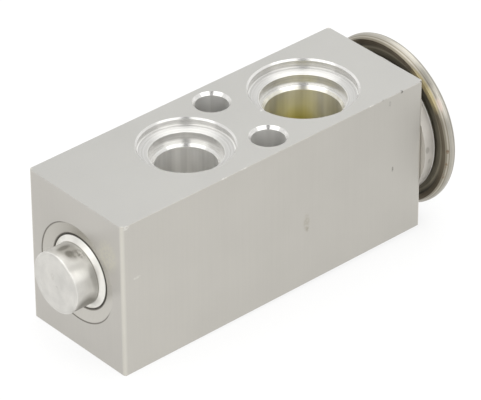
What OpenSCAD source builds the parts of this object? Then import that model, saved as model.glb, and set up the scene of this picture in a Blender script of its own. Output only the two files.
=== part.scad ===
// Block-type thermostatic expansion valve of a vehicle air-conditioning circuit.
// The valve axis runs along X, from the end plug at -X to the power element at +X.
// The ports and the two bolt holes run along Z, through the upper and lower port faces.
// The origin is the middle of the bolt pattern, on the lower port face.
// The valve stands fully open, as it does off the car: the charge in the power element
// is stronger than the spring. All values are millimetres.

/* [Block] */
// Length of the block along the valve axis
block_l = 75.5; // [72:0.5:90]
// Width of the block
block_w = 26.7; // [26:0.1:34]
// Height of the block from one port face to the other
block_h = 33.2; // [32:0.2:44]
// Radius of the four long corners that the extrusion die leaves
corner_r = 0.8; // [0.3:0.1:2]
// Break on the edges of both port faces
edge_break = 0.1; // [0.05:0.05:0.4]

/* [Bolt holes] */
// Plug end of the block to the line through both bolt holes
bolt_line = 40.4; // [39:0.05:43]
// Spacing of the two bolt holes across the block
bolt_pitch = 16.1; // [15:0.1:17.5]
// Diameter of a bolt hole
bolt_hole_d = 6.6; // [5.5:0.1:7]
// Width of the lead-in at each mouth of a bolt hole
bolt_lead_w = 0.5; // [0.05:0.05:0.7]
// Depth of that lead-in on the upper face, where the bolts go in
bolt_lead_l = 0.65; // [0.1:0.05:1.5]
// Depth of that lead-in on the lower face
bolt_exit_l = 0.3; // [0.1:0.05:0.5]

/* [Liquid ports] */
// Bolt line to the liquid outlet, on the upper face
outlet_offset = 13.4; // [12.6:0.1:15]
// Bolt line to the liquid inlet, on the lower face
inlet_offset = 25.9; // [24.5:0.1:27]
// Mouth of a liquid port
liquid_mouth_d = 19.2; // [17:0.1:20.5]
// Chamfer around the mouth
liquid_mouth_chamfer = 0.3; // [0.1:0.05:0.6]
// Depth of the straight wall below the mouth, with its chamfer
liquid_wall_l = 1.4; // [0.8:0.1:2.5]
// Depth of the lead-in cone that squeezes the seal ring
liquid_cone_l = 0.5; // [0.3:0.05:1.5]
// Diameter of the land that the seal ring runs on
liquid_land_d = 14.5; // [13.8:0.1:16]
// Depth of that land
liquid_land_l = 2; // [1.5:0.1:3]
// Diameter where the flat below the land ends
liquid_shoulder_d = 13; // [12.4:0.1:13.6]
// Depth of the chamfer from that flat into the bore
liquid_shoulder_l = 0.5; // [0.2:0.05:0.8]
// Bore that takes the end of the pipe
liquid_bore_d = 12.1; // [11.6:0.1:12.3]
// Depth of the outlet's pipe bore below the upper face
outlet_bore_depth = 11.5; // [8:0.5:13]
// Passage below the outlet's pipe bore
outlet_passage_d = 11.4; // [9:0.1:11.5]
// Floor of that passage below the valve axis
outlet_floor = 3.2; // [2:0.1:4]
// Depth of the inlet's pipe bore above the lower face
inlet_bore_depth = 7.8; // [6.6:0.2:8]
// Passage from the inlet's pipe bore into the valve chamber
inlet_passage_d = 9.2; // [7:0.2:9.8]

/* [Suction ports] */
// Bolt line to the suction passage
suction_offset = 16.2; // [15.8:0.1:16.8]
// Mouth of a suction port
suction_mouth_d = 21.8; // [20.5:0.1:23]
// Chamfer around the mouth
suction_mouth_chamfer = 0.35; // [0.1:0.05:0.8]
// Depth of the straight wall below the mouth, with its chamfer
suction_wall_l = 1.7; // [1:0.1:2.6]
// Depth of the lead-in cone that squeezes the seal ring
suction_cone_l = 0.6; // [0.3:0.05:1.5]
// Diameter of the land that the seal ring runs on
suction_land_d = 17.1; // [16.6:0.1:18.5]
// Depth of that land
suction_land_l = 2; // [1.2:0.1:2.5]
// Diameter where the flat below the land ends
suction_shoulder_d = 16.1; // [15.5:0.1:16.4]
// Depth of the chamfer from that flat into the bore
suction_shoulder_l = 0.7; // [0.3:0.05:1]
// Bore that takes the end of the pipe
suction_bore_d = 15; // [14.8:0.1:15.4]
// Passage between the two pipe bores, which the sensing rod crosses
suction_passage_d = 14.4; // [13:0.1:14.7]

/* [Valve seat and chamber] */
// Chamber around the spring and the ball
chamber_d = 13.2; // [12.6:0.1:13.6]
// Orifice that the ball closes
orifice_d = 3; // [2.6:0.1:3.1]
// Length of the orifice
orifice_l = 2.6; // [2:0.1:3.5]
// Depth of the 45 degree seat around the orifice
seat_depth = 0.8; // [0.5:0.05:1]
// Travel of the ball from fully open to closed
travel = 0.8; // [0.3:0.05:1]
// Diameter of the ball
ball_d = 4.5; // [4.2:0.1:4.8]

/* [Ball carrier and springs] */
// Cup that holds the ball
cup_d = 6.6; // [6:0.1:7]
// Flange that the spring pushes on
carrier_flange_d = 9.8; // [9.2:0.1:10]
// Thickness of that flange
carrier_flange_t = 1.2; // [0.8:0.1:1.6]
// Peg behind the flange, inside the spring
peg_d = 6.8; // [5:0.1:7]
// Length of that peg
peg_l = 1.8; // [1:0.1:3]
// Mean diameter of the valve spring
spring_d = 8.6; // [8.2:0.1:8.8]
// Wire of the valve spring
spring_wire_d = 1; // [0.8:0.05:1.1]
// Turns of the valve spring, with one closed turn at each end
spring_turns = 6.5; // [5:0.5:7]
// Sheet of the damping ring
damper_t = 0.3; // [0.2:0.05:0.4]
// Length that the damping ring's fingers reach back along the chamber
finger_l = 2; // [1.2:0.1:2.4]
// Angle that one finger covers around the axis
finger_angle = 36; // [20:1:60]
// Number of fingers
finger_count = 3; // [2:1:5]

/* [End plug] */
// Boss that stands out of the block
boss_d = 12.5; // [11:0.1:13]
// Height of the boss above the end face
boss_l = 5.2; // [3:0.05:8]
// Rounding around the front of the boss
boss_round = 0.4; // [0.1:0.05:1]
// Plug inside the block
plug_d = 15; // [14.8:0.1:15.4]
// Depth of the plug below the end face
plug_l = 8; // [7.4:0.1:8.4]
// Depth below the end face at which the bevel leaves the boss
bevel_start = 0.05; // [0:0.05:0.3]
// Depth at which the bevel meets the plug's side
bevel_depth = 0.85; // [0.4:0.05:1.2]
// Pocket in the plug that holds the spring
pocket_d = 10; // [9.9:0.1:10.4]
// Metal left between the end face and the pocket's floor
pocket_floor = 2.5; // [1.5:0.1:3]
// Depth at which the seal ring's groove starts
plug_groove_depth = 3.4; // [2.6:0.1:4]
// Width of that groove
plug_groove_w = 2.3; // [2:0.1:2.6]
// Diameter of the groove's floor
plug_groove_d = 12; // [11.8:0.1:12.4]
// Dish that the staking tool presses into the end face, down to the foot of the bevel
stake_dish_d = 20.6; // [18:0.1:22]
// Width of the step around that dish
stake_step_w = 0.2; // [0.05:0.05:0.4]
// Depth of that step
stake_step_depth = 0.1; // [0.05:0.05:0.3]

/* [Operating pin and its seal] */
// Diameter of the operating pin
pin_d = 2; // [1.8:0.05:2.2]
// Length of the pin inside the sensing rod
pin_socket_l = 3; // [2:0.1:4]
// Pocket for the pin's seal, beside the suction passage
seal_pocket_d = 6; // [5.6:0.1:6.4]
// Depth of that pocket
seal_pocket_l = 3.6; // [3.4:0.1:4.2]
// Thickness of the washer on the seal ring
washer_t = 0.5; // [0.3:0.05:0.6]
// Thickness of the push-in retainer
retainer_t = 0.6; // [0.4:0.05:0.8]
// Hole in the retainer
retainer_hole_d = 3.2; // [2.8:0.1:3.6]
// Number of slots that let the retainer's rim spring
retainer_slots = 6; // [4:1:8]

/* [Sensing rod] */
// Diameter of the sensing rod
rod_d = 8.4; // [7.6:0.1:8.6]
// Gap between the rim of the rod's end and the round wall of the suction passage
rod_end_gap = 0.5; // [0.3:0.1:1.5]
// Bore that makes the rod hollow
rod_bore_d = 4.4; // [3:0.1:5]
// Solid metal between the rod's bore and the pin's socket
rod_web = 2.5; // [1.5:0.1:4]
// Clearance hole for the rod between the suction passage and the tapped bore
rod_hole_d = 12; // [10.5:0.1:13]

/* [Power element base] */
// Crest of the thread on the neck, and the block's tapped bore
neck_d = 20; // [19:0.1:20.4]
// Length of the neck inside the block
neck_l = 8.6; // [7:0.1:9]
// Depth of the tapped bore
tapped_depth = 9; // [9:0.1:9.4]
// Pitch of the thread
thread_pitch = 1; // [0.75:0.25:1.5]
// Depth of the thread
thread_depth = 0.6; // [0.3:0.05:0.7]
// Hole through the neck
neck_hole_d = 15.2; // [14.4:0.1:15.6]
// Round drum between the block and the disc
drum_d = 28.8; // [27.5:0.1:30]
// Height of the drum above the block
drum_l = 2.65; // [2.4:0.05:3.4]
// Chamfer on the drum's edge towards the disc
drum_chamfer = 0.15; // [0.1:0.05:0.6]
// Relief behind the drum
relief_d = 26.8; // [26.4:0.1:27.4]
// Gap between the drum and the underside of the base's flange
relief_l = 0.8; // [0.75:0.05:1.4]
// Thickness of the base's flange
flange_t = 0.8; // [0.6:0.05:1]
// Recess in the base that the pressure pad moves in
recess_d = 24; // [23:0.1:24.4]
// Height of the recess's floor above the block
recess_floor = 1.8; // [1.2:0.1:2.2]
// Counterbore in the block for the base's seal ring
seal_bore_d = 23.4; // [23:0.1:23.8]
// Depth of that counterbore
seal_bore_depth = 1.6; // [1.4:0.05:1.8]

/* [Power element cover] */
// Outside of the rolled rim
rim_d = 35.66; // [34:0.1:38]
// Thickness of the cover's sheet
sheet_t = 0.7; // [0.5:0.05:0.8]
// Width of the rolled lip, from the rim inwards
lip_w = 1.7; // [1.2:0.1:2.2]
// Diameter where the cover's dome starts to rise
dome_foot_d = 25.8; // [25:0.1:27]
// Diameter of the dome's flat top
dome_top_d = 20.4; // [17:0.1:22]
// Height of the dome's inside above the diaphragm
dome_h = 2.6; // [1.8:0.1:3]
// Thickness of the diaphragm
diaphragm_t = 0.15; // [0.1:0.01:0.2]
// Diameter of the diaphragm that lies flat on the pad
diaphragm_flat_d = 17; // [14:0.5:18]
// Height of the wave pressed into the diaphragm
wave_h = 0.22; // [0:0.02:0.3]
// Charge hole in the middle of the cover
charge_hole_d = 3; // [2.4:0.1:4]
// Head of the charge plug
charge_head_d = 5; // [4.4:0.1:7]
// Height of that head
charge_head_h = 1.1; // [0.6:0.1:2]

/* [Pressure pad] */
// Diameter of the pad
pad_d = 23.4; // [22:0.1:23.6]
// Rounding around the pad's upper edge
pad_round = 0.8; // [0.2:0.1:1]
// Boss that holds the sensing rod
pad_boss_d = 12.8; // [11.6:0.1:13.2]
// Length of that boss below the pad
pad_boss_l = 5; // [3:0.1:6]
// Depth of the rod's socket in the boss
rod_socket_l = 3.4; // [2:0.1:4.5]

/* [Clearances] */
// Radial clearance of the pin in its guide
running_fit = 0.03; // [0.02:0.01:0.08]
// Gap around pieces that are fitted or pressed together
fit_gap = 0.02; // [0.01:0.01:0.04]
// Radial gap around the plug, and between both threads
loose_gap = 0.1; // [0.04:0.01:0.15]
// Gap between each damping finger and the chamber's wall
finger_gap = 0.05; // [0.02:0.01:0.1]
// Distance that the pipe bores stay clear of the sensing rod
rod_clearance = 0.1; // [0.05:0.05:0.5]

/* [Hidden] */
$fn = 96;

// Cuts run this far past the faces they open.
cut = 1;
// Straight pieces in a small rounding, and in half a wave of the diaphragm.
round_steps = 5;
wave_steps = 8;

aluminium = [0.79, 0.78, 0.76];
bright_steel = [0.72, 0.71, 0.68];
dark_steel = [0.5, 0.49, 0.47];
brass = [0.78, 0.62, 0.25];
rubber = [0.13, 0.14, 0.13];

// Places along the valve axis.
plug_face = -bolt_line;
head_face = block_l - bolt_line;
axis_z = block_h / 2;
outlet_x = -outlet_offset;
inlet_x = -inlet_offset;
suction_x = suction_offset;
orifice_x = outlet_x - outlet_passage_d / 2 - orifice_l;
chamber_end = orifice_x - seat_depth;
plug_end = plug_face + plug_l;
pocket_end = plug_face + pocket_floor;
suction_wall = suction_x - suction_passage_d / 2;
seal_pocket_x = suction_wall - seal_pocket_l;
neck_end = head_face - neck_l;
drum_top = head_face + drum_l;
flange_under = drum_top + relief_l;
flange_top = flange_under + flange_t;
recess_x = head_face + recess_floor;
diaphragm_top = flange_top + diaphragm_t;

// A 45 degree seat touches the ball on a circle, and this is the ball's centre there.
ball_r = ball_d / 2;
ball_closed = orifice_x + orifice_d / 2 - ball_r * sqrt(2) - fit_gap;
ball_x = ball_closed - travel;
pin_start = ball_x + ball_r + fit_gap;
rod_start = suction_x - sqrt(pow(suction_passage_d, 2) - pow(rod_d, 2)) / 2 + rod_end_gap;
pin_end = rod_start + pin_socket_l;

// The pad rests on the recess's floor, and its top is level with the flange when closed.
pad_under = recess_x + fit_gap;
pad_top = flange_top - travel;
pad_boss_end = pad_under - pad_boss_l;
rod_end = pad_boss_end + rod_socket_l - fit_gap;

// Ball carrier, from the flange's rear face to the rim of the cup.
carrier_front = ball_x - 1.6;
carrier_back = carrier_front - carrier_flange_t;
cup_rim = ball_x - 0.5;

// Rolled rim of the cover.
rim_r = rim_d / 2;
lip_under = flange_under - sheet_t;
rim_top = diaphragm_top + sheet_t;
base_flange_r = rim_r - sheet_t - fit_gap;

function arc(r0, x0, radius, from, to) =
    [for (i = [0:round_steps])
        let (a = from + (to - from) * i / round_steps)
            [r0 + radius * cos(a), x0 + radius * sin(a)]];

// Solid of revolution around the valve axis, from [radius, x] points.
module turned(points, angle = 360) {
    translate([0, 0, axis_z])
        rotate([0, 90, 0])
            rotate_extrude(angle = angle)
                polygon(points);
}

// Straight cylinder on the valve axis.
module on_axis(d, from, to) {
    translate([from, 0, axis_z])
        rotate([0, 90, 0])
            cylinder(d = d, h = to - from);
}

module ring(mean_r, section_r, x) {
    translate([x, 0, axis_z])
        rotate([0, 90, 0])
            rotate_extrude()
                translate([mean_r, 0])
                    circle(r = section_r, $fn = 48);
}

// Points [radius, height] of one port's cut, measured down from its face at height 0.
function port_points(mouth_d, chamfer, wall_l, cone_l, land_d, land_l, shoulder_d,
                     shoulder_l, bore_d, bore_depth) =
    let (mouth_r = mouth_d / 2,
         cone = wall_l + cone_l,
         land = cone + land_l)
    [[0, cut],
     [mouth_r + cut, cut],
     [mouth_r, 0],
     [mouth_r - chamfer, -chamfer],
     [mouth_r - chamfer, -wall_l],
     [land_d / 2, -cone],
     [land_d / 2, -land],
     [shoulder_d / 2, -land],
     [bore_d / 2, -land - shoulder_l],
     [bore_d / 2, -bore_depth],
     [0, -bore_depth]];

module liquid_port(bore_depth) {
    rotate_extrude()
        polygon(port_points(liquid_mouth_d, liquid_mouth_chamfer, liquid_wall_l,
                            liquid_cone_l, liquid_land_d, liquid_land_l,
                            liquid_shoulder_d, liquid_shoulder_l, liquid_bore_d,
                            bore_depth));
}

module suction_port() {
    rotate_extrude()
        polygon(port_points(suction_mouth_d, suction_mouth_chamfer, suction_wall_l,
                            suction_cone_l, suction_land_d, suction_land_l,
                            suction_shoulder_d, suction_shoulder_l, suction_bore_d,
                            axis_z - rod_d / 2 - rod_clearance));
}

module bolt_hole() {
    mouth_r = bolt_hole_d / 2 + bolt_lead_w;
    rotate_extrude()
        polygon([[0, -cut],
                 [mouth_r, -cut],
                 [mouth_r, 0],
                 [bolt_hole_d / 2, bolt_exit_l],
                 [bolt_hole_d / 2, block_h - bolt_lead_l],
                 [mouth_r, block_h],
                 [mouth_r, block_h + cut],
                 [0, block_h + cut]]);
}

// Extruded stock: a rectangle with four rounded corners.
module stock() {
    translate([plug_face, -block_w / 2, 0])
        linear_extrude(block_h)
            union() {
                translate([corner_r, 0])
                    square([block_l - 2 * corner_r, block_w]);
                translate([0, corner_r])
                    square([block_l, block_w - 2 * corner_r]);
                for (x = [corner_r, block_l - corner_r], y = [corner_r, block_w - corner_r])
                    translate([x, y])
                        circle(r = corner_r);
            }
}

// Wedge that breaks one straight edge of length l, along X.
module edge_wedge(l) {
    rotate([45, 0, 0])
        cube([l, edge_break * sqrt(2), edge_break * sqrt(2)], center = true);
}

module edge_wedges() {
    for (z = [0, block_h]) {
        for (y = [-block_w / 2, block_w / 2])
            translate([plug_face + block_l / 2, y, z])
                edge_wedge(block_l + cut);
        for (x = [plug_face, head_face])
            translate([x, 0, z])
                rotate([0, 0, 90])
                    edge_wedge(block_w + cut);
    }
}

// Everything that is bored from the plug's end and the element's end.
module axial_bores() {
    plug_bore_r = plug_d / 2 + loose_gap;
    dish_r = stake_dish_d / 2;
    turned([[0, plug_face - cut],
            [dish_r, plug_face - cut],
            [dish_r, plug_face],
            [dish_r - stake_step_w, plug_face + stake_step_depth],
            [plug_bore_r, plug_face + bevel_depth],
            [plug_bore_r, plug_end],
            [chamber_d / 2, plug_end],
            [chamber_d / 2, chamber_end],
            [orifice_d / 2 + seat_depth, chamber_end],
            [orifice_d / 2, orifice_x],
            [orifice_d / 2, outlet_x],
            [0, outlet_x]]);
    on_axis(pin_d + 2 * running_fit, outlet_x, suction_x);
    on_axis(seal_pocket_d, seal_pocket_x, suction_x);
    on_axis(rod_hole_d, suction_x, head_face);
    turned([[0, head_face - tapped_depth],
            [neck_d / 2, head_face - tapped_depth],
            [neck_d / 2, head_face - seal_bore_depth],
            [seal_bore_d / 2, head_face - seal_bore_depth],
            [seal_bore_d / 2, head_face + cut],
            [0, head_face + cut]]);
}

module valve_body() {
    color(aluminium)
        difference() {
            stock();
            edge_wedges();
            axial_bores();
            for (y = [-bolt_pitch / 2, bolt_pitch / 2])
                translate([0, y, 0])
                    bolt_hole();
            translate([outlet_x, 0, block_h])
                liquid_port(outlet_bore_depth);
            translate([outlet_x, 0, axis_z - outlet_floor])
                cylinder(d = outlet_passage_d, h = axis_z);
            translate([inlet_x, 0, 0])
                mirror([0, 0, 1])
                    liquid_port(inlet_bore_depth);
            translate([inlet_x, 0, cut])
                cylinder(d = inlet_passage_d, h = axis_z - chamber_d / 4 - cut);
            translate([suction_x, 0, block_h])
                suction_port();
            translate([suction_x, 0, 0])
                mirror([0, 0, 1])
                    suction_port();
            translate([suction_x, 0, cut])
                cylinder(d = suction_passage_d, h = block_h - 2 * cut);
        }
}

// Turned plug: the boss, the bevel that the staking holds, the seal groove, the pocket.
module end_plug() {
    boss_r = boss_d / 2;
    front = plug_face - boss_l;
    groove = plug_face + plug_groove_depth;
    color(aluminium)
        turned(concat(
            [[0, front]],
            arc(boss_r - boss_round, front + boss_round, boss_round, -90, 0),
            [[boss_r, plug_face + bevel_start],
             [plug_d / 2, plug_face + bevel_depth],
             [plug_d / 2, groove],
             [plug_groove_d / 2, groove],
             [plug_groove_d / 2, groove + plug_groove_w],
             [plug_d / 2, groove + plug_groove_w],
             [plug_d / 2, plug_end],
             [pocket_d / 2, plug_end],
             [pocket_d / 2, pocket_end],
             [0, pocket_end]]));
}

module plug_o_ring() {
    floor_r = plug_groove_d / 2;
    wall_r = plug_d / 2 + loose_gap;
    section = (wall_r - floor_r) / 2 - fit_gap;
    color(rubber)
        ring((wall_r + floor_r) / 2, section,
             plug_face + plug_groove_depth + plug_groove_w / 2);
}

// Coil from the pocket's floor to the carrier's flange, with one closed turn at each end.
module valve_spring() {
    sides = 8;
    per_turn = 20;
    wire_r = spring_wire_d / 2;
    start = pocket_end + wire_r + fit_gap;
    stop = carrier_back - wire_r - fit_gap;
    closed_pitch = spring_wire_d + 2 * fit_gap;
    open_pitch = (stop - start - 2 * closed_pitch) / (spring_turns - 2);
    rings = ceil(spring_turns * per_turn);
    function along(turn) =
        turn < 1 ? turn * closed_pitch
        : turn > spring_turns - 1
            ? stop - start - (spring_turns - turn) * closed_pitch
            : closed_pitch + (turn - 1) * open_pitch;
    function wire_point(i, j) =
        let (turn = spring_turns * i / rings,
             a = 360 * turn,
             b = 360 * j / sides,
             r = spring_d / 2 + wire_r * cos(b))
            [start + along(turn) + wire_r * sin(b), r * cos(a), axis_z + r * sin(a)];
    points = [for (i = [0:rings], j = [0:sides - 1]) wire_point(i, j)];
    skin = [for (i = [0:rings - 1], j = [0:sides - 1])
                let (k = (j + 1) % sides)
                    [i * sides + j, i * sides + k, (i + 1) * sides + k, (i + 1) * sides + j]];
    first = [for (j = [sides - 1:-1:0]) j];
    last = [for (j = [0:sides - 1]) rings * sides + j];
    color(dark_steel)
        polyhedron(points, concat(skin, [first, last]), convexity = 10);
}

// Spring sheet ring on the cup, with fingers that rub on the chamber's wall.
module damping_ring() {
    inner = cup_d / 2 + fit_gap;
    bend = carrier_flange_d / 2 + damper_t + fit_gap;
    tip = chamber_d / 2 - finger_gap;
    front = carrier_front + damper_t;
    color(bright_steel) {
        turned([[inner, carrier_front],
                [bend, carrier_front],
                [bend, front],
                [inner, front]]);
        for (i = [0:finger_count - 1])
            translate([0, 0, axis_z])
                rotate([i * 360 / finger_count - finger_angle / 2, 0, 0])
                    translate([0, 0, -axis_z])
                        turned([[bend - damper_t, carrier_front],
                                [bend - damper_t, front],
                                [bend + damper_t, front],
                                [tip, front - finger_l],
                                [tip - damper_t, front - finger_l],
                                [bend, carrier_front]], finger_angle);
    }
}

module ball_carrier() {
    color(bright_steel)
        difference() {
            turned([[0, carrier_back - peg_l],
                    [peg_d / 2, carrier_back - peg_l],
                    [peg_d / 2, carrier_back],
                    [carrier_flange_d / 2, carrier_back],
                    [carrier_flange_d / 2, carrier_front],
                    [cup_d / 2, carrier_front],
                    [cup_d / 2, cup_rim],
                    [0, cup_rim]]);
            translate([ball_x, 0, axis_z])
                sphere(r = ball_r + fit_gap);
        }
}

module valve_ball() {
    color(bright_steel)
        translate([ball_x, 0, axis_z])
            sphere(r = ball_r);
}

module operating_pin() {
    tip = pin_d / 8;
    color(bright_steel)
        turned([[0, pin_start],
                [pin_d / 2 - tip, pin_start],
                [pin_d / 2, pin_start + tip],
                [pin_d / 2, pin_end],
                [0, pin_end]]);
}

// Seal, washer and retainer stack up from the floor of the pin's seal pocket.
seal_inner = pin_d / 2 + running_fit;
seal_section = (seal_pocket_d / 2 - seal_inner) / 2 - fit_gap / 2;
washer_x = seal_pocket_x + 2 * seal_section + 2 * fit_gap;
retainer_x = washer_x + washer_t + fit_gap;

module pin_o_ring() {
    color(rubber)
        ring(seal_inner + seal_section, seal_section, seal_pocket_x + seal_section + fit_gap);
}

module pin_washer() {
    color(bright_steel)
        difference() {
            on_axis(seal_pocket_d - 2 * fit_gap, washer_x, washer_x + washer_t);
            on_axis(pin_d + 2 * running_fit, washer_x - cut, washer_x + washer_t + cut);
        }
}

module pin_retainer() {
    slot_w = 0.5;
    slot_l = (seal_pocket_d - retainer_hole_d) / 4;
    color(bright_steel)
        difference() {
            on_axis(seal_pocket_d - 2 * fit_gap, retainer_x, retainer_x + retainer_t);
            on_axis(retainer_hole_d, retainer_x - cut, retainer_x + retainer_t + cut);
            for (i = [0:retainer_slots - 1])
                translate([retainer_x - cut, 0, axis_z])
                    rotate([i * 360 / retainer_slots, 0, 0])
                        translate([0, seal_pocket_d / 2 - slot_l, -slot_w / 2])
                            cube([retainer_t + 2 * cut, slot_l + cut, slot_w]);
        }
}

// Hollow rod that crosses the suction passage and feels its temperature.
module sensing_rod() {
    rod_r = rod_d / 2;
    edge = 0.4;
    color(brass)
        turned([[pin_d / 2 + fit_gap, rod_start],
                [rod_r - edge, rod_start],
                [rod_r, rod_start + edge],
                [rod_r, rod_end],
                [rod_bore_d / 2, rod_end],
                [rod_bore_d / 2, pin_end + rod_web],
                [0, pin_end + rod_web],
                [0, pin_end + fit_gap],
                [pin_d / 2 + fit_gap, pin_end + fit_gap]]);
}

module pressure_pad() {
    pad_r = pad_d / 2;
    socket = rod_d / 2 + fit_gap;
    color(aluminium)
        turned(concat(
            [[0, pad_boss_end + rod_socket_l],
             [socket, pad_boss_end + rod_socket_l],
             [socket, pad_boss_end],
             [pad_boss_d / 2, pad_boss_end],
             [pad_boss_d / 2, pad_under],
             [pad_r, pad_under]],
            arc(pad_r - pad_round, pad_top - pad_round, pad_round, 0, 90),
            [[0, pad_top]]));
}

// Height of the diaphragm's underside at one radius: flat on the pad, a waved slope up to
// the flange, and flat where it is clamped.
function diaphragm_under(r) =
    let (low = diaphragm_flat_d / 2,
         high = recess_d / 2,
         k = (r - low) / (high - low))
        k <= 0 ? pad_top + fit_gap
        : k >= 1 ? flange_top
        : pad_top + fit_gap + (travel - fit_gap) * (1 - cos(180 * k)) / 2
            + wave_h * pow(sin(180 * k), 2) * sin(540 * k);

module diaphragm() {
    low = diaphragm_flat_d / 2;
    high = recess_d / 2;
    radii = concat([0],
                   [for (i = [0:2 * wave_steps]) low + (high - low) * i / (2 * wave_steps)],
                   [base_flange_r]);
    under = [for (r = radii) [r, diaphragm_under(r)]];
    over = [for (i = [len(radii) - 1:-1:0])
                [radii[i], diaphragm_under(radii[i]) + diaphragm_t]];
    color(bright_steel)
        turned(concat(under, over));
}

// Turned steel base: threaded neck, drum against the block, relief, flange and recess.
module element_base() {
    crest = neck_d / 2 - loose_gap;
    root = crest - thread_depth;
    thread_top = head_face - seal_bore_depth - thread_pitch;
    threads = floor((thread_top - neck_end) / thread_pitch);
    teeth = [for (i = [0:threads - 1], side = [0, 1])
                [side == 0 ? root : crest, neck_end + (i + side / 2) * thread_pitch]];
    drum_r = drum_d / 2;
    color(bright_steel)
        turned(concat(
            [[neck_hole_d / 2, neck_end]],
            teeth,
            [[root, neck_end + threads * thread_pitch],
             [root, head_face - seal_bore_depth],
             [crest, head_face - seal_bore_depth],
             [crest, head_face],
             [drum_r, head_face],
             [drum_r, drum_top - drum_chamfer],
             [drum_r - drum_chamfer, drum_top],
             [relief_d / 2, drum_top],
             [relief_d / 2, flange_under],
             [base_flange_r, flange_under],
             [base_flange_r, flange_top],
             [recess_d / 2, flange_top],
             [recess_d / 2, recess_x],
             [neck_hole_d / 2, recess_x]]));
}

// Pressed steel cover, its rim rolled around the base's flange and the diaphragm.
module element_cover() {
    inner = rim_r - sheet_t;
    foot = dome_foot_d / 2;
    top_r = dome_top_d / 2;
    dome_in = diaphragm_top + dome_h;
    // Height of the side that leans inwards below the rim's widest ring.
    lean_h = 0.95;
    lean_r = 0.18;
    edge_w = 0.8;
    color(bright_steel)
        turned(concat(
            [[charge_hole_d / 2, dome_in + sheet_t],
             [charge_hole_d / 2, dome_in],
             [top_r - sheet_t / 2, dome_in],
             [foot - sheet_t / 2, diaphragm_top],
             [inner, diaphragm_top],
             [inner, flange_under],
             [rim_r - lip_w, flange_under],
             [rim_r - lip_w, lip_under],
             [rim_r - edge_w, lip_under],
             [rim_r - lean_r, lip_under + lean_h],
             [rim_r, lip_under + lean_h + 2 * lean_r]],
            arc(rim_r - sheet_t, rim_top - sheet_t, sheet_t, 0, 90),
            [[foot + sheet_t / 2, rim_top],
             [top_r + sheet_t / 2, dome_in + sheet_t]]));
}

module charge_plug() {
    head_x = diaphragm_top + dome_h + sheet_t;
    stem_r = charge_hole_d / 2 - fit_gap;
    head_r = charge_head_d / 2;
    rise = charge_head_h / 2;
    color(bright_steel)
        turned([[0, head_x - sheet_t],
                [stem_r, head_x - sheet_t],
                [stem_r, head_x],
                [head_r, head_x],
                [head_r, head_x + rise],
                [head_r - rise, head_x + charge_head_h],
                [0, head_x + charge_head_h]]);
}

module element_o_ring() {
    section = seal_bore_depth / 2 - fit_gap;
    color(rubber)
        ring(neck_d / 2 + section, section, head_face - seal_bore_depth / 2);
}

valve_body();
end_plug();
plug_o_ring();
valve_spring();
damping_ring();
ball_carrier();
valve_ball();
operating_pin();
pin_o_ring();
pin_washer();
pin_retainer();
sensing_rod();
pressure_pad();
diaphragm();
element_base();
element_cover();
charge_plug();
element_o_ring();
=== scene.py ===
from math import atan2, radians, tan
from types import SimpleNamespace

import bpy
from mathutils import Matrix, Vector


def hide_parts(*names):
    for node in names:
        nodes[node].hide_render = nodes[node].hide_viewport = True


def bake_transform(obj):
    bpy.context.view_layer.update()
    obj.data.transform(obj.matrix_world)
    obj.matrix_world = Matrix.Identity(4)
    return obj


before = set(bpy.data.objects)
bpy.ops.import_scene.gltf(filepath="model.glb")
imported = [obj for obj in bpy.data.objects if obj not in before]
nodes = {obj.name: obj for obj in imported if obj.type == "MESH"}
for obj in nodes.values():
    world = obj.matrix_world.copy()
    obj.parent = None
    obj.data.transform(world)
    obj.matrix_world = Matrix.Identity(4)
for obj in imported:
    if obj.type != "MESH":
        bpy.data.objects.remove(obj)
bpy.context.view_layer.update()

MM = 0.001

# Sizes of the valve that the finishes and the table follow, in millimetres. The
# block lies along X, with the middle of its width at Y = 0 and its lower face at Z = 0.
HALF_WIDTH = 13.35
HEIGHT = 33.2
PLUG_FACE = -40.4
HEAD_FACE = 35.1
AXIS_Z = HEIGHT / 2
MIDDLE_X = (PLUG_FACE + HEAD_FACE) / 2
HALF_LENGTH = (HEAD_FACE - PLUG_FACE) / 2

# Ports: the places of their axes, the radii of their mouths, and the depth of the steps in a
# mouth. A ledge runs round in each mouth, between these two distances in from its wall.
OUTLET_X, INLET_X, SUCTION_X = -13.4, -25.9, 16.2
LIQUID_MOUTH, SUCTION_MOUTH = 9.6, 10.9
PORT_STEPS = 4.5
LEDGE_START, LEDGE_END = 0.5, 2.3
# The suction port lies beyond this X, and the inlet below this Z.
SUCTION_FROM = 2.0
INLET_BELOW = 12.0
BOLT_Y, BOLT_MOUTH, BOLT_LEAD_IN = 8.05, 3.8, 0.65

# End plug: the front of its boss, the outer radius of the painted shade in its joint, and the
# radius of the dish that the staking tool pressed around it.
BOSS_FRONT = -45.6
JOINT_EDGE = 7.95
STAKE_DISH = 10.3

# Power element, along X: the drum's edge, the lip and the top of the rolled rim, the top of the
# pad under the diaphragm, and the top of the base's flange.
DRUM_TOP, LIP_UNDER, RIM_TOP = 37.75, 37.85, 40.2
PAD_TOP, FLANGE_TOP = 38.55, 39.35
RIM_RADIUS = 17.83

# Inputs of a Mix node that mixes colours or vectors, which share their names with the others.
COLOUR_A, COLOUR_B = 6, 7
VECTOR_A, VECTOR_B = 4, 5

# Contrast of turning rings where they hardly show.
FAINT = 0.03


def linear(colour):
    """An sRGB hex colour as the linear values that a shader reads."""
    parts = [int(colour[i:i + 2], 16) / 255 for i in (1, 3, 5)]
    return [p / 12.92 if p <= 0.04045 else ((p + 0.055) / 1.055) ** 2.4 for p in parts] + [1]


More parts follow.
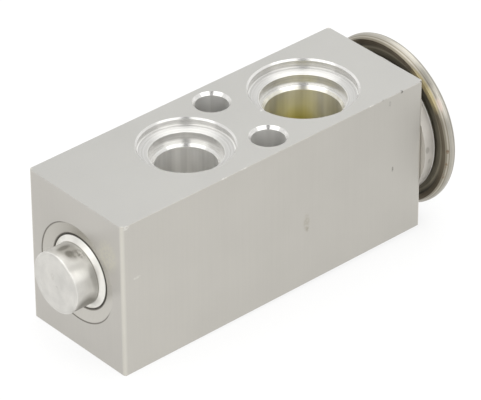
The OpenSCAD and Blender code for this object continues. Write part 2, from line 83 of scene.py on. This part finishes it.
def add(tree, kind, inputs=None, **settings):
    """Adds one node with its settings. An input given as a node or a socket is linked, and any
    other is a value. A node stands for its first output in use."""
    node = tree.nodes.new("ShaderNode" + kind)
    for name, value in settings.items():
        setattr(node, name, value)
    for name, value in (inputs or {}).items():
        if isinstance(value, bpy.types.Node):
            value = next(output for output in value.outputs if output.enabled)
        if isinstance(value, bpy.types.NodeSocket):
            tree.links.new(value, node.inputs[name])
        else:
            node.inputs[name].default_value = value
    return node


def start_material(name):
    """A new material's node tree, and the surface point in millimetres."""
    material = bpy.data.materials.new(name)
    material.use_nodes = True
    tree = material.node_tree
    tree.nodes.clear()
    place = add(tree, "VectorMath", {0: add(tree, "TexCoord").outputs["Object"],
                                     1: (1000, 1000, 1000)}, operation="MULTIPLY")
    return material, tree, place


def give(material, *names):
    """Puts a material on CAD nodes, in the slots they already have."""
    for name in names:
        for slot in nodes[name].material_slots:
            slot.material = material


def spot(tree, place, centre, radii):
    """1 inside an ellipsoid around centre, 0 outside it, with a soft rim."""
    offset = add(tree, "VectorMath", {0: place, 1: centre}, operation="SUBTRACT")
    reach = add(tree, "VectorMath", {0: offset, 1: radii}, operation="DIVIDE")
    length = add(tree, "VectorMath", {0: reach}, operation="LENGTH")
    return add(tree, "MapRange", {"Value": length, "From Min": 1.0, "From Max": 0.55})


def nearest_hole(tree, place):
    """The holes that a point is nearest to: the suction port at +X, otherwise the outlet at the
    top or the inlet underneath, and the bolt hole on its own side. port and bolt are the ways
    to the point from their axes."""
    x, y, z = add(tree, "SeparateXYZ", {0: place}).outputs
    suction = add(tree, "Math", {0: x, 1: SUCTION_FROM}, operation="GREATER_THAN")
    upper = add(tree, "Math", {0: z, 1: INLET_BELOW}, operation="GREATER_THAN")
    liquid_x = add(tree, "Mix", {"Factor": upper, "A": INLET_X, "B": OUTLET_X})
    port_x = add(tree, "Mix", {"Factor": suction, "A": liquid_x, "B": SUCTION_X})
    mouth = add(tree, "Mix", {"Factor": suction, "A": LIQUID_MOUTH, "B": SUCTION_MOUTH})
    port = add(tree, "CombineXYZ", {
        "X": add(tree, "Math", {0: x, 1: port_x}, operation="SUBTRACT"), "Y": y})
    port_radius = add(tree, "VectorMath", {0: port}, operation="LENGTH")
    in_port = add(tree, "Math", {0: port_radius, 1: mouth}, operation="LESS_THAN")

    bolt_y = add(tree, "Math", {0: add(tree, "Math", {0: y}, operation="SIGN"), 1: BOLT_Y},
                 operation="MULTIPLY")
    bolt = add(tree, "CombineXYZ", {
        "X": x, "Y": add(tree, "Math", {0: y, 1: bolt_y}, operation="SUBTRACT")})
    in_bolt = add(tree, "Math", {0: add(tree, "VectorMath", {0: bolt}, operation="LENGTH"),
                                 1: BOLT_MOUTH}, operation="LESS_THAN")
    return SimpleNamespace(
        suction=suction, mouth=mouth, port=port, port_radius=port_radius, in_port=in_port,
        bolt=bolt, in_bolt=in_bolt,
        in_either=add(tree, "Math", {0: in_port, 1: in_bolt}, operation="MAXIMUM"))


def hole_tone(tree, place, hole, drilled, ring_marks):
    """The stepped mouths are bright from a form tool, their ledges duller. The drilled bores
    below are bright in the small port and dull in the bolt holes, and in the big one they carry
    a painted yellow reflection of the brass rod across it.
    A form tool leaves rings, and a drill's margins leave streaks down the bore."""
    inward = add(tree, "Math", {0: hole.mouth, 1: hole.port_radius}, operation="SUBTRACT")
    ledge = add(tree, "Math", {
        0: add(tree, "Math", {0: inward, 1: LEDGE_START}, operation="GREATER_THAN"),
        1: add(tree, "Math", {0: inward, 1: LEDGE_END}, operation="LESS_THAN")},
        operation="MULTIPLY")
    mouth_tone = add(tree, "Mix", {"Factor": ledge, COLOUR_A: linear("#E6E5E2"),
                                   COLOUR_B: linear("#C4C3C0")}, data_type="RGBA")
    # Painted reflection: the yellow of the brass rod, laid into the colour of the big port's
    # bore.
    painted_brass_reflection = add(tree, "Mix", {"Factor": spot(tree, place, (20.6, 6.0, 16.5), (5.5, 4.8, 8.5)),
                             COLOUR_A: linear("#E8E5DA"), COLOUR_B: linear("#C9C077")},
               data_type="RGBA")
    bore_tone = linear("#F2F1EE")
    for bore, tone_of_bore in ((hole.suction, painted_brass_reflection), (hole.in_bolt, linear("#EDECE9"))):
        bore_tone = add(tree, "Mix", {"Factor": bore, COLOUR_A: bore_tone,
                                      COLOUR_B: tone_of_bore}, data_type="RGBA")
    tone = add(tree, "Mix", {"Factor": drilled, COLOUR_A: mouth_tone, COLOUR_B: bore_tone},
               data_type="RGBA")

    way_out = add(tree, "VectorMath", {0: hole.port}, operation="NORMALIZE")
    streaks = add(tree, "TexNoise", {"Vector": way_out, "Scale": 4.0, "Detail": 2.0})
    value = add(tree, "Mix", {
        "Factor": drilled,
        "A": add(tree, "MapRange", {"Value": ring_marks, "From Min": 0.35, "From Max": 0.65,
                                    "To Min": 0.88, "To Max": 1.05}),
        "B": add(tree, "MapRange", {"Value": streaks, "From Min": 0.36, "From Max": 0.64,
                                    "To Min": 0.88, "To Max": 1.07})})
    return add(tree, "HueSaturation", {"Value": value, "Color": tone})


def painted_joint_shade(tree, x, y, level):
    """Painted shade: dark in the joint around the plug, where its gap lies in shade, and in two
    arcs of the step around the dish that the staking tool pressed, where the step is shaded."""
    at_plug_end = add(tree, "Math", {0: x, 1: PLUG_FACE + 1.2}, operation="LESS_THAN")
    from_axis = add(tree, "VectorMath", {0: add(tree, "CombineXYZ", {"X": y, "Y": level})},
                    operation="LENGTH")
    joint_gap_shade = add(tree, "MapRange", {"Value": from_axis, "From Min": JOINT_EDGE,
                                   "From Max": JOINT_EDGE - 0.2})
    low_arc = add(tree, "MapRange", {"Value": level, "From Min": -3.5, "From Max": -5.5})
    far_arc = add(tree, "MapRange", {"Value": y, "From Min": 2.5, "From Max": 4.5})
    shaded_arcs = add(tree, "Math", {0: low_arc, 1: far_arc}, operation="MAXIMUM")
    step_inside = add(tree, "MapRange", {"Value": from_axis, "From Min": STAKE_DISH - 0.28,
                                         "From Max": STAKE_DISH - 0.18})
    step_outside = add(tree, "MapRange", {"Value": from_axis, "From Min": STAKE_DISH,
                                          "From Max": STAKE_DISH + 0.05,
                                          "To Min": 0.8, "To Max": 0.0})
    shaded_step = add(tree, "Math", {0: add(tree, "Math", {0: step_inside, 1: shaded_arcs},
                                     operation="MULTIPLY"), 1: step_outside},
               operation="MULTIPLY")
    return add(tree, "Math", {0: add(tree, "Math", {0: joint_gap_shade, 1: shaded_step}, operation="MAXIMUM"),
                              1: at_plug_end}, operation="MULTIPLY")


def skin_tone(tree, place, milled, level, shade):
    """The milled port faces are a shade more neutral than the extruded sides, the sawn ends a
    shade darker, and the four rounded corners carry a painted highlight."""
    x, y, _ = add(tree, "SeparateXYZ", {0: place}).outputs
    off_middle = add(tree, "Math", {0: x, 1: MIDDLE_X}, operation="SUBTRACT")
    off_end = add(tree, "Math", {0: off_middle}, operation="ABSOLUTE")
    sawn = add(tree, "Math", {0: off_end, 1: HALF_LENGTH - 0.05}, operation="GREATER_THAN")
    off_side = add(tree, "Math", {0: y}, operation="ABSOLUTE")
    # Painted highlight along the four rounded corners.
    corner = add(tree, "Math", {
        0: add(tree, "MapRange", {"Value": off_end, "From Min": HALF_LENGTH - 0.8,
                                  "From Max": HALF_LENGTH - 0.3}),
        1: add(tree, "MapRange", {"Value": off_side, "From Min": HALF_WIDTH - 0.8,
                                  "From Max": HALF_WIDTH - 0.3})}, operation="MULTIPLY")
    tone = linear("#CAC7C0")
    for part, tone_of_part in ((milled, "#BDBCB8"), (sawn, "#C5C2BC"), (corner, "#D7D4CB"),
                               # Painted shade in the joint at the plug and on the step around
                               # its dish.
                               (painted_joint_shade(tree, x, y, level), "#6F6B64")):
        tone = add(tree, "Mix", {"Factor": part, COLOUR_A: tone,
                                 COLOUR_B: linear(tone_of_part)}, data_type="RGBA")
    return add(tree, "HueSaturation", {"Value": shade, "Color": tone})


def marks_and_painted_glow(tree, place, colour):
    """Specks, nicks, scratches, a stain and a painted glow beside the plug, broken up by a fine
    noise. Each has its centre, its radii, its colour and its strength."""
    side = -HALF_WIDTH
    ragged = add(tree, "MapRange", {"Value": add(tree, "TexNoise", {
        "Vector": place, "Scale": 2.0, "Detail": 3.0}), "From Min": 0.4, "From Max": 0.55,
        "To Min": 0.2})
    specks_towards_the_head = (
        ((29.44, side, 33.0), (0.42, 0.5, 0.35), "#6E6C68", 0.9),
        ((26.35, side, 31.6), (0.35, 0.5, 0.8), "#A7A49D", 0.6),
        ((27.38, side, 16.3), (0.3, 0.5, 0.7), "#8E8B84", 0.9))
    stain_on_the_side = (
        ((5.0, side, 14.05), (0.9, 0.5, 2.2), "#B3AD9E", 0.5),
        ((5.15, side, 12.4), (0.5, 0.5, 0.7), "#A8A294", 0.6))
    scratches_near_the_plug = (
        ((-37.08, side, 20.93), (1.1, 0.5, 0.35), "#DEDCD6", 0.7),
        ((-39.35, side, 32.8), (0.9, 0.5, 0.5), "#E4E2DC", 0.8))
    nicks_on_the_upper_edge = (
        ((21.6, -13.3, 33.1), (0.7, 0.2, 0.2), "#E4E2DC", 0.9),
        ((24.8, -13.3, 33.1), (0.8, 0.2, 0.2), "#A5A29B", 0.8),
        ((-10.8, -13.3, 33.1), (1.0, 0.2, 0.2), "#E2E0DB", 0.8),
        ((-15.7, -13.3, 33.1), (0.9, 0.2, 0.2), "#E6E4DE", 0.8),
        ((34.7, -13.2, 33.1), (0.4, 0.3, 0.35), "#77706A", 0.9))
    # Painted reflection: a pale yellowish glow on the end face beside the plug.
    painted_glow_beside_the_plug = (((PLUG_FACE, -9.2, 24.9), (1.5, 3.0, 4.0), "#D2CFBE", 0.5),)
    burr_at_the_suction_port = (((5.06, -0.6, HEIGHT), (0.5, 0.3, 0.3), "#F2F1EE", 0.8),)
    for centre, radii, tone, strength in (
            specks_towards_the_head + stain_on_the_side + scratches_near_the_plug
            + nicks_on_the_upper_edge + painted_glow_beside_the_plug + burr_at_the_suction_port):
        factor = add(tree, "Math", {0: spot(tree, place, centre, radii), 1: add(
            tree, "Math", {0: ragged, 1: strength}, operation="MULTIPLY")},
            operation="MULTIPLY")
        colour = add(tree, "Mix", {"Factor": factor, COLOUR_A: colour,
                                   COLOUR_B: linear(tone)}, data_type="RGBA")
    return colour


def groove_direction(tree, hole, milled):
    """Grooves run round each hole, across the milled faces, and up the sides."""
    along = add(tree, "Mix", {"Factor": milled, VECTOR_A: (0, 0, 1), VECTOR_B: (0, 1, 0)},
                data_type="VECTOR")
    for in_hole, way_out in ((hole.in_port, hole.port), (hole.in_bolt, hole.bolt)):
        around = add(tree, "VectorMath", {0: (0, 0, 1), 1: way_out}, operation="CROSS_PRODUCT")
        along = add(tree, "Mix", {"Factor": in_hole, VECTOR_A: along, VECTOR_B: around},
                    data_type="VECTOR")
    return add(tree, "VectorMath", {0: along}, operation="NORMALIZE")


def aluminium_block():
    """Extruded aluminium, sawn to length, its port faces milled: an even, pale, silky grey with
    faint drawing lines up its sides. The ports and bolt holes are brighter turned metal, and
    handling has left a few specks and nicks."""
    material, tree, place = start_material("extruded_and_milled_aluminium")
    z = add(tree, "SeparateXYZ", {0: place}).outputs["Z"]
    level = add(tree, "Math", {0: z, 1: AXIS_Z}, operation="SUBTRACT")
    off_face = add(tree, "Math", {0: level}, operation="ABSOLUTE")
    milled = add(tree, "Math", {0: off_face, 1: AXIS_Z - 0.05}, operation="GREATER_THAN")
    hole = nearest_hole(tree, place)
    bore_start = add(tree, "Mix", {"Factor": hole.in_port, "A": AXIS_Z - BOLT_LEAD_IN,
                                   "B": AXIS_Z - PORT_STEPS})
    drilled = add(tree, "Math", {0: off_face, 1: bore_start}, operation="LESS_THAN")

    # Drawing lines of the extrusion die, some 0.4 mm apart, up the four sides.
    upright = add(tree, "VectorMath", {0: place, 1: (2.4, 2.4, 0.03)}, operation="MULTIPLY")
    lines = add(tree, "TexNoise", {"Vector": upright, "Scale": 1.0, "Detail": 4.0,
                                   "Roughness": 0.65})
    # Slow clouding of the pickled skin, some 15 mm across.
    clouds = add(tree, "TexNoise", {"Vector": place, "Scale": 0.07, "Detail": 4.0,
                                    "Roughness": 0.55})
    # Fine grain of the milled faces, 0.4 mm and less.
    grain = add(tree, "TexNoise", {"Vector": place, "Scale": 2.6, "Detail": 4.0,
                                   "Roughness": 0.7})
    # Tool marks in the holes: rings some 0.3 mm apart.
    ring_marks = add(tree, "TexNoise", {
        "Vector": add(tree, "CombineXYZ", {"X": hole.port_radius, "Y": z}),
        "Scale": 3.2, "Detail": 3.0})

    shade = 1.0
    for pattern, low, high, contrast in ((clouds, 0.3, 0.7, 0.018), (grain, 0.2, 0.8, 0.012),
                                         (lines, 0.3, 0.7, 0.012)):
        shade = add(tree, "Math", {0: shade, 1: add(tree, "MapRange", {
            "Value": pattern, "From Min": low, "From Max": high,
            "To Min": 1 - contrast, "To Max": 1 + contrast})}, operation="MULTIPLY")
    colour = add(tree, "Mix", {
        "Factor": hole.in_either,
        COLOUR_A: skin_tone(tree, place, milled, level, shade),
        COLOUR_B: hole_tone(tree, place, hole, drilled, ring_marks)}, data_type="RGBA")
    colour = marks_and_painted_glow(tree, place, colour)

    # Tool marks scatter part of the light in the holes.
    metallic = add(tree, "Mix", {"Factor": hole.in_either, "A": 1.0, "B": 0.8})
    rough_skin = add(tree, "MapRange", {"Value": grain, "From Min": 0.2, "From Max": 0.8,
                                        "To Min": 0.38, "To Max": 0.46})
    rough_hole = add(tree, "Mix", {"Factor": drilled, "A": 0.27, "B": 0.3})
    rough = add(tree, "Mix", {"Factor": hole.in_either, "A": rough_skin, "B": rough_hole})
    relief = add(tree, "Mix", {"Factor": hole.in_either, "A": lines, "B": ring_marks})
    bump = add(tree, "Bump", {"Height": relief, "Strength": 0.12, "Distance": 0.00003})
    add(tree, "OutputMaterial", {"Surface": add(tree, "BsdfPrincipled", {
        "Base Color": colour, "Metallic": metallic, "Roughness": rough, "Anisotropic": 0.9,
        "Anisotropic Rotation": 0.25, "Tangent": groove_direction(tree, hole, milled),
        "Normal": bump})})
    return material


def turned_metal(name, colour, rough, ring_scale=4.0, anisotropy=0.7, tint=0.03, metallic=1.0,
                 ringing=FAINT, ringed_from=-60.0, bands=(), patches=(), marks=()):
    """Metal turned on the valve axis: rings, and highlights that fan out from the axis.
    ring_scale is the number of rings per millimetre. They are faint up to ringed_from, a place
    along the axis, and have the contrast ringing beyond it. Each band gives a colour from one
    place along the axis to the next, each patch is a soft change of colour, and each mark is a
    ragged smudge or speck. The centres of patches and marks are measured from the axis."""
    material, tree, place = start_material(name)
    place = add(tree, "VectorMath", {0: place, 1: (0, 0, AXIS_Z)}, operation="SUBTRACT")
    across = add(tree, "VectorMath", {0: place, 1: (0, 1, 1)}, operation="MULTIPLY")
    radius = add(tree, "VectorMath", {0: across}, operation="LENGTH")
    x = add(tree, "SeparateXYZ", {0: place}).outputs["X"]

    tone = linear(colour)
    for start, end, shade in bands:
        factor = add(tree, "MapRange", {"Value": x, "From Min": start, "From Max": end},
                     interpolation_type="SMOOTHSTEP")
        tone = add(tree, "Mix", {"Factor": factor, COLOUR_A: tone, COLOUR_B: linear(shade)},
                   data_type="RGBA")
    for centre, radii, shade, strength in patches:
        factor = add(tree, "Math", {0: spot(tree, place, centre, radii), 1: strength},
                     operation="MULTIPLY")
        tone = add(tree, "Mix", {"Factor": factor, COLOUR_A: tone, COLOUR_B: linear(shade)},
                   data_type="RGBA")

    rings = add(tree, "TexNoise", {"Vector": add(tree, "CombineXYZ", {"X": radius, "Y": x}),
                                   "Scale": ring_scale, "Detail": 3.0, "Roughness": 0.6})
    ring_swing = add(tree, "MapRange", {"Value": rings, "From Min": 0.3, "From Max": 0.7,
                                        "To Min": -1.0})
    contrast = add(tree, "MapRange", {"Value": x, "From Min": ringed_from,
                                      "From Max": ringed_from + 0.05,
                                      "To Min": FAINT, "To Max": ringing})
    ring_value = add(tree, "Math", {0: ring_swing, 1: contrast, 2: 1.0},
                     operation="MULTIPLY_ADD")
    smears = add(tree, "TexNoise", {"Vector": place, "Scale": 0.35, "Detail": 4.0})
    smear_value = add(tree, "MapRange", {"Value": smears, "From Min": 0.3, "From Max": 0.7,
                                         "To Min": 1 - tint, "To Max": 1 + tint})
    value = add(tree, "Math", {0: smear_value, 1: ring_value}, operation="MULTIPLY")
    skin = add(tree, "HueSaturation", {"Value": value, "Color": tone})

    blotches = add(tree, "TexNoise", {"Vector": place, "Scale": 1.1, "Detail": 3.0,
                                      "Roughness": 0.6})
    for centre, radii, shade, strength in marks:
        ragged = add(tree, "MapRange", {"Value": blotches, "From Min": 0.38, "From Max": 0.58,
                                        "To Max": strength})
        factor = add(tree, "Math", {0: spot(tree, place, centre, radii), 1: ragged},
                     operation="MULTIPLY")
        skin = add(tree, "Mix", {"Factor": factor, COLOUR_A: skin, COLOUR_B: linear(shade)},
                   data_type="RGBA")

    around = add(tree, "VectorMath", {0: (1, 0, 0), 1: across}, operation="CROSS_PRODUCT")
    along = add(tree, "VectorMath", {0: around}, operation="NORMALIZE")
    bump = add(tree, "Bump", {"Height": rings, "Strength": 0.15, "Distance": 0.00003})
    roughness = add(tree, "MapRange", {"Value": smears, "From Min": 0.3, "From Max": 0.7,
                                       "To Min": rough * 0.85, "To Max": rough * 1.15})
    add(tree, "OutputMaterial", {"Surface": add(tree, "BsdfPrincipled", {
        "Base Color": skin, "Metallic": metallic, "Roughness": roughness,
        "Anisotropic": anisotropy, "Anisotropic Rotation": 0.25, "Tangent": along,
        "Normal": bump})})
    return material


def turned_aluminium():
    """The end plug. Its boss is satin, with dirt smudges and a centre mark, a painted highlight
    on its side and painted shade on its lower side. The bevel at its foot is freshly cut, and
    its lower part is painted dark as shade in the joint around it."""
    return turned_metal("turned_aluminium", "#C7C5C0", 0.36, tint=0.09, metallic=0.6, bands=(
        (BOSS_FRONT + 0.1, BOSS_FRONT + 0.2, "#D6D4CF"),
        (PLUG_FACE - 0.15, PLUG_FACE - 0.05, "#A9A69E"),
        (PLUG_FACE + 0.05, PLUG_FACE + 0.14, "#E9E7E1"),
        # Painted shade: the lower part of the bevel, down in the joint's gap.
        (PLUG_FACE + 0.72, PLUG_FACE + 0.8, "#55524B"),
        (PLUG_FACE + 1.0, PLUG_FACE + 1.3, "#D6D4CF")), patches=(
        # Painted highlight on the side of the boss.
        ((-42.9, -4.4, 4.4), (2.6, 2.4, 2.6), "#E9E8E3", 0.6),
        # Painted shade on the lower side of the boss.
        ((-42.7, -5.0, -4.0), (3.2, 3.8, 4.2), "#85827B", 0.9),
        ((-40.9, -5.6, 2.4), (1.1, 1.8, 3.6), "#94918A", 0.45),
        ((-42.6, -0.6, 6.2), (2.3, 3.4, 1.4), "#A5A29A", 0.8),
        ((-43.0, -1.2, 6.1), (1.0, 1.1, 0.9), "#6F6C64", 0.8),
        ((-42.7, 0.9, 6.2), (1.6, 0.9, 0.9), "#7A776F", 0.7)), marks=(
        ((-42.4, -1.6, 5.9), (1.7, 1.3, 1.1), "#716E66", 0.5),
        ((-41.2, -2.2, 5.8), (0.9, 1.6, 1.0), "#716E66", 0.7),
        ((-42.6, -5.6, -2.8), (1.2, 0.8, 1.8), "#8F8C84", 0.8),
        ((BOSS_FRONT, 0.7, 1.2), (0.4, 0.5, 0.9), "#B4B1A9", 0.8),
        ((BOSS_FRONT, -0.5, -0.7), (0.4, 0.5, 0.5), "#A5A29A", 0.8)))


def turned_stainless_steel():
    """The base of the power element. Its drum is a plain satin grey with a painted highlight
    along its edge. Behind it, the steel is a dark olive brown: partly the tint of welding,
    partly painted shade in the narrow relief. The lathe's rings across that are drawn some 0.8
    mm apart, because finer ones would not show."""
    return turned_metal("turned_stainless_steel", "#CDC9C2", 0.5, ring_scale=1.3,
                        anisotropy=0.0, metallic=0.6, ringing=0.7, ringed_from=DRUM_TOP,
                        bands=(
        # Painted highlight along the drum's edge.
        (DRUM_TOP - 0.5, DRUM_TOP - 0.35, "#F0EDE8"),
        # Dark olive brown behind the drum: weld tint and painted shade.
        (DRUM_TOP + 0.02, DRUM_TOP + 0.08, "#757063"),
        (FLANGE_TOP - 0.3, FLANGE_TOP, "#B4AEA4")), patches=(
        ((HEAD_FACE + 0.6, -14.4, 0.9), (0.6, 1.0, 0.9), "#9A958D", 0.6),
        ((HEAD_FACE + 1.2, -14.3, -1.9), (0.4, 1.0, 0.7), "#A8A39B", 0.6)))


def rolled_stainless_sheet():
    """The cover of the power element. Its rolled rim runs from brown under its lip over a tan
    crease and a dark line to plain grey. On its front the crease carries a painted straw
    highlight and a painted pink reflection, and specks of rust dot its lower half. The rolling
    marks are drawn some 0.5 mm apart, because finer ones would not show."""
    return turned_metal("rolled_stainless_sheet", "#787062", 0.34, ring_scale=1.9,
                        anisotropy=0.8, tint=0.08, ringing=0.4, bands=(
        (LIP_UNDER + 0.02, LIP_UNDER + 0.14, "#9C9585"),
        (LIP_UNDER + 0.3, LIP_UNDER + 0.5, "#B3ADA0"),
        (LIP_UNDER + 0.6, LIP_UNDER + 0.7, "#8F897C"),
        (LIP_UNDER + 0.75, LIP_UNDER + 0.95, "#B5B1A7"),
        (RIM_TOP - 0.1, RIM_TOP, "#B5B1A9")), patches=(
        # Painted highlight: the straw glint on the crease.
        ((LIP_UNDER + 0.1, -11.6, 12.9), (0.5, 5.4, 6.0), "#D9CA9C", 0.8),
        # Painted reflection: a pink tint on the crease.
        ((LIP_UNDER + 0.8, -14.3, 10.0), (0.5, 1.4, 2.0), "#CFBDB2", 0.6)), marks=(
        ((LIP_UNDER + 0.4, -17.4, 0.9), (0.35, 0.6, 0.6), "#6E5236", 0.9),
        ((LIP_UNDER + 0.3, -17.2, -2.4), (0.35, 0.6, 0.8), "#7A6044", 0.9),
        ((LIP_UNDER + 0.3, -16.6, -5.3), (0.35, 0.8, 0.9), "#7A6650", 0.8)))


def nitrile_rubber():
    """Moulded nitrile rubber: matt and nearly black, a little greenish."""
    material, tree, place = start_material("moulded_nitrile_rubber")
    grain = add(tree, "TexNoise", {"Vector": place, "Scale": 4.0, "Detail": 2.0})
    bump = add(tree, "Bump", {"Height": grain, "Strength": 0.2, "Distance": 0.00002})
    rough = add(tree, "MapRange", {"Value": grain, "To Min": 0.5, "To Max": 0.65})
    add(tree, "OutputMaterial", {"Surface": add(tree, "BsdfPrincipled", {
        "Base Color": linear("#23251F"), "Roughness": rough, "Normal": bump})})
    return material


def flexible_copy(node, name):
    """A merged copy of a CAD node, for a piece between the block and the valve train."""
    bpy.ops.object.select_all(action="DESELECT")
    bpy.context.view_layer.objects.active = nodes[node]
    nodes[node].select_set(True)
    bpy.ops.object.duplicate()
    piece = bpy.context.object
    piece.name = name
    piece.parent = None
    bpy.ops.object.mode_set(mode="EDIT")
    bpy.ops.mesh.select_all(action="SELECT")
    bpy.ops.mesh.remove_doubles(threshold=0.002 * MM)
    bpy.ops.mesh.normals_make_consistent(inside=False)
    bpy.ops.object.mode_set(mode="OBJECT")
    return piece


def coil_spring():
    """The closing spring, with its wire rounded."""
    spring = flexible_copy("valve_spring", "coil_spring")
    rounding = spring.modifiers.new("round_wire", "SUBSURF")
    rounding.levels = rounding.render_levels = 1
    bpy.ops.object.modifier_apply(modifier=rounding.name)
    bpy.ops.object.shade_smooth()
    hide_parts("valve_spring")
    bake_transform(spring)


def corrugated_diaphragm():
    """The diaphragm. Its middle lies on the pad, and its edge is clamped in the rim."""
    sheet = flexible_copy("diaphragm", "corrugated_diaphragm")
    bpy.ops.object.shade_smooth_by_angle(angle=radians(35))
    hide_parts("diaphragm")
    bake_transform(sheet)


def white_table():
    """A white table that glows a little. The part lies on the rim of its disc and on the lower
    edge of its plug end, so the table slopes by under one degree against the block."""
    slope = atan2(RIM_RADIUS - AXIS_Z, RIM_TOP - PLUG_FACE)
    bpy.ops.mesh.primitive_plane_add(size=3.0, location=(0, 0, 0))
    table = bpy.context.object
    table.name = "table"
    bpy.ops.object.mode_set(mode="EDIT")
    bpy.ops.mesh.select_all(action="SELECT")
    bpy.ops.mesh.subdivide(number_cuts=3)
    bpy.ops.object.mode_set(mode="OBJECT")
    for corner in table.data.vertices:
        corner.co.z = -(corner.co.x - PLUG_FACE * MM) * tan(slope) - 0.02 * MM

    material, tree, place = start_material("white_table")
    path = add(tree, "LightPath").outputs
    seen = add(tree, "Math", {0: path["Is Camera Ray"], 1: path["Is Glossy Ray"]},
               operation="MAXIMUM")
    seen = add(tree, "Math", {0: seen, 1: path["Is Transmission Ray"]}, operation="MAXIMUM")
    glowing_share = add(tree, "Math", {0: seen, 1: 0.8}, operation="MULTIPLY")
    # The table is a little brighter at the plug end, which the sides of the block pick up.
    fall = add(tree, "MapRange", {"Value": add(tree, "SeparateXYZ", {0: place}).outputs["X"],
                                  "From Min": -30.0, "From Max": 70.0,
                                  "To Min": 1.03, "To Max": 0.88})
    glow = add(tree, "Mix", {"Factor": path["Is Camera Ray"], "A": fall, "B": 1.0})
    add(tree, "OutputMaterial", {"Surface": add(tree, "MixShader", {
        0: glowing_share, 1: add(tree, "BsdfDiffuse", {"Color": linear("#F4F4F3")}),
        2: add(tree, "Emission", {"Color": (1, 1, 1, 1), "Strength": glow})})})
    table.data.materials.append(material)


def white_room():
    """The room is white all round, but for the dark gap between the two softboxes in which the
    photographer stands. The half of the room behind the part is brighter."""
    photographer = (-0.661, -0.750, 0)
    world = bpy.data.worlds.new("white_room")
    bpy.context.scene.world = world
    world.use_nodes = True
    tree = world.node_tree
    tree.nodes.clear()
    path = add(tree, "LightPath").outputs
    direction = add(tree, "TexCoord").outputs["Generated"]
    height = add(tree, "SeparateXYZ", {0: direction}).outputs["Z"]
    flat = add(tree, "VectorMath", {0: direction, 1: (1, 1, 0)}, operation="MULTIPLY")
    heading = add(tree, "VectorMath", {0: flat}, operation="NORMALIZE")
    facing = add(tree, "VectorMath", {0: heading, 1: photographer}, operation="DOT_PRODUCT")

    gap = add(tree, "MapRange", {"Value": facing, "From Min": 0.96, "From Max": 0.985,
                                 "To Max": 0.95}, interpolation_type="SMOOTHSTEP")
    above_table = add(tree, "MapRange", {"Value": height, "From Min": 0.2, "From Max": 0.4})
    gap = add(tree, "Math", {0: gap, 1: above_table}, operation="MULTIPLY")
    back = add(tree, "MapRange", {"Value": facing, "From Min": -0.25, "From Max": -0.6,
                                  "To Min": 1.0, "To Max": 1.25},
               interpolation_type="SMOOTHSTEP")
    wall = add(tree, "Math", {0: back, 1: gap}, operation="SUBTRACT")
    rise = add(tree, "MapRange", {"Value": height, "From Max": 0.7, "To Min": 0.75})
    room = add(tree, "Math", {0: wall, 1: rise}, operation="MULTIPLY")
    strength = add(tree, "Mix", {"Factor": path["Is Camera Ray"], "A": room, "B": 1.0})
    add(tree, "OutputWorld", {"Surface": add(tree, "Background", {
        "Color": (1, 1, 1, 1), "Strength": strength})})


def softboxes():
    """Three soft lamps, aimed at the part: one above it, and one on each side of the camera.
    Each has its place and size in metres and its power in watts."""
    part = Vector((0, 0, 0.015))
    for name, place, size, power in (
            ("softbox_above", (0.1, 0.15, 0.85), (0.8, 0.8), 2.2),
            ("softbox_left", (-0.85, -0.13, 0.55), (0.95, 0.7), 2.8),
            ("softbox_right", (-0.02, -0.86, 0.55), (0.95, 0.7), 2.8)):
        light = bpy.data.lights.new(name, "AREA")
        light.shape = "RECTANGLE"
        light.size, light.size_y = size
        light.energy = power
        lamp = bpy.data.objects.new(name, light)
        lamp.location = place
        aim = part - Vector(place)
        lamp.rotation_euler = aim.to_track_quat("-Z", "Y").to_euler()
        bpy.context.scene.collection.objects.link(lamp)


def camera():
    """The photographer's place: a long lens, 0.74 m away, 34 degrees above the table."""
    lens = bpy.data.cameras.new("camera")
    lens.sensor_fit = "HORIZONTAL"
    lens.sensor_width = 36.0
    lens.lens = 288.9
    lens.clip_start = 0.01
    lens.clip_end = 20.0
    view = bpy.data.objects.new("camera", lens)
    view.location = (-0.40555, -0.45983, 0.42449)
    view.rotation_euler = (radians(56.2470), radians(0.2509), radians(-41.5843))
    bpy.context.scene.collection.objects.link(view)
    bpy.context.scene.camera = view


# Finishes of the small pieces, most of them hidden: bright turned steel and rolled sheet, duller
# drawn wire, satin yellow brass on the rod across the suction port, and a mirror-like ball.
bright_steel = turned_metal("turned_bright_steel", "#BDB8AE", 0.3)
spring_sheet = turned_metal("rolled_spring_sheet", "#B8B4AB", 0.28, ring_scale=1.0)
spring_wire = turned_metal("drawn_spring_wire", "#8F8C86", 0.34)
brass = turned_metal("drawn_brass", "#BDB342", 0.45)
ball_steel = turned_metal("lapped_ball_steel", "#CFCECB", 0.08, anisotropy=0.0)

give(aluminium_block(), "valve_body")
give(turned_aluminium(), "end_plug", "pressure_pad")
give(turned_stainless_steel(), "element_base")
give(rolled_stainless_sheet(), "element_cover")
give(bright_steel, "operating_pin", "ball_carrier", "pin_washer", "charge_plug")
give(spring_sheet, "damping_ring", "pin_retainer", "diaphragm")
give(spring_wire, "valve_spring")
give(brass, "sensing_rod")
give(ball_steel, "valve_ball")
give(nitrile_rubber(), "plug_o_ring", "pin_o_ring", "element_o_ring")

coil_spring()
corrugated_diaphragm()

white_table()
white_room()
softboxes()
camera()
bpy.context.scene.view_settings.view_transform = "Standard"
